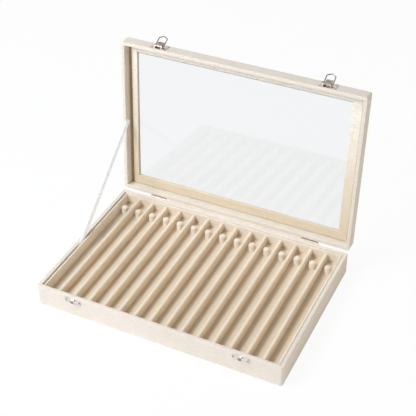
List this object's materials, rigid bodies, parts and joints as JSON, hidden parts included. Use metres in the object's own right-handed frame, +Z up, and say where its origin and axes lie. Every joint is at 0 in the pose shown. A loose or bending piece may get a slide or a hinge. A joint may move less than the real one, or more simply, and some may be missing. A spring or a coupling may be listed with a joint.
{
  "type": "necklace organizer box",
  "caption": "Shallow fabric-covered jewellery box with a hinged glass-topped lid, narrow padded compartments each with a peg, a ribbon stay and toggle latches on the front.",
  "frame": {"origin": "middle of the underside of the case", "axes": "+X to the right along the longest side, -Y out of the front, +Z up; the lid stands open"},
  "size_m": [0.36, 0.2893, 0.284],
  "materials": {
    "fabric": "matte",
    "peg_fabric": "matte",
    "board": "matte",
    "nickel": "satin",
    "glass": "gloss",
    "ribbon": "satin"
  },
  "bodies": {
    "case": {"front_wall": "fabric", "back_wall": "fabric", "left_wall": "fabric", "right_wall": "fabric", "bottom_board": "board", "tray_risers": "board", "tray_floor": "fabric", "tray_liner_front": "fabric", "tray_liner_back": "fabric", "tray_liner_left": "fabric", "tray_liner_right": "fabric", "divider_01": "fabric", "divider_02": "fabric", "divider_03": "fabric", "divider_04": "fabric", "divider_05": "fabric", "divider_06": "fabric", "divider_07": "fabric", "divider_08": "fabric", "divider_09": "fabric", "divider_10": "fabric", "divider_11": "fabric", "divider_12": "fabric", "divider_13": "fabric", "divider_14": "fabric", "necklace_peg_01": "peg_fabric", "necklace_peg_02": "peg_fabric", "necklace_peg_03": "peg_fabric", "necklace_peg_04": "peg_fabric", "necklace_peg_05": "peg_fabric", "necklace_peg_06": "peg_fabric", "necklace_peg_07": "peg_fabric", "necklace_peg_08": "peg_fabric", "necklace_peg_09": "peg_fabric", "necklace_peg_10": "peg_fabric", "necklace_peg_11": "peg_fabric", "necklace_peg_12": "peg_fabric", "necklace_peg_13": "peg_fabric", "necklace_peg_14": "peg_fabric", "necklace_peg_15": "peg_fabric", "hinge_leaves_case": "nickel", "hinge_pins": "nickel", "catch_plates": "nickel", "case_screws": "nickel", "stay_ribbon": "ribbon", "back_cloth": "fabric"},
    "lid": {"lid_front_rail": "fabric", "lid_back_rail": "fabric", "lid_left_rail": "fabric", "lid_right_rail": "fabric", "lid_top_frame": "fabric", "glass_pane": "glass", "glass_retainers": "fabric", "hinge_leaves_lid": "nickel", "latch_plates": "nickel", "lid_screws": "nickel"},
    "lever_left": {"latch_lever_left": "nickel"},
    "bail_left": {"latch_bail_left": "nickel"},
    "lever_right": {"latch_lever_right": "nickel"},
    "bail_right": {"latch_bail_right": "nickel"}
  },
  "joints": [
    {"name": "lid_hinge", "type": "hinge", "parent": "case", "child": "lid", "pos_m": [0, 0.1221, 0.0332], "axis": [1, 0, 0], "range_deg": [0, 94.6], "deforming": ["stay_ribbon", "back_cloth"]},
    {"name": "latch_left_lever", "type": "hinge", "parent": "lid", "child": "lever_left", "pos_m": [-0.123, 0.14633, 0.27704], "axis": [-1, 0, 0], "range_deg": [-150, 0]},
    {"name": "latch_left_bail", "type": "hinge", "parent": "lever_left", "child": "bail_left", "pos_m": [-0.123, 0.15068, 0.27619], "axis": [1, 0, 0], "range_deg": [0, 150.5]},
    {"name": "latch_right_lever", "type": "hinge", "parent": "lid", "child": "lever_right", "pos_m": [0.123, 0.14633, 0.27704], "axis": [-1, 0, 0], "range_deg": [-150, 0]},
    {"name": "latch_right_bail", "type": "hinge", "parent": "lever_right", "child": "bail_right", "pos_m": [0.123, 0.15068, 0.27619], "axis": [1, 0, 0], "range_deg": [0, 150.5]}
  ]
}
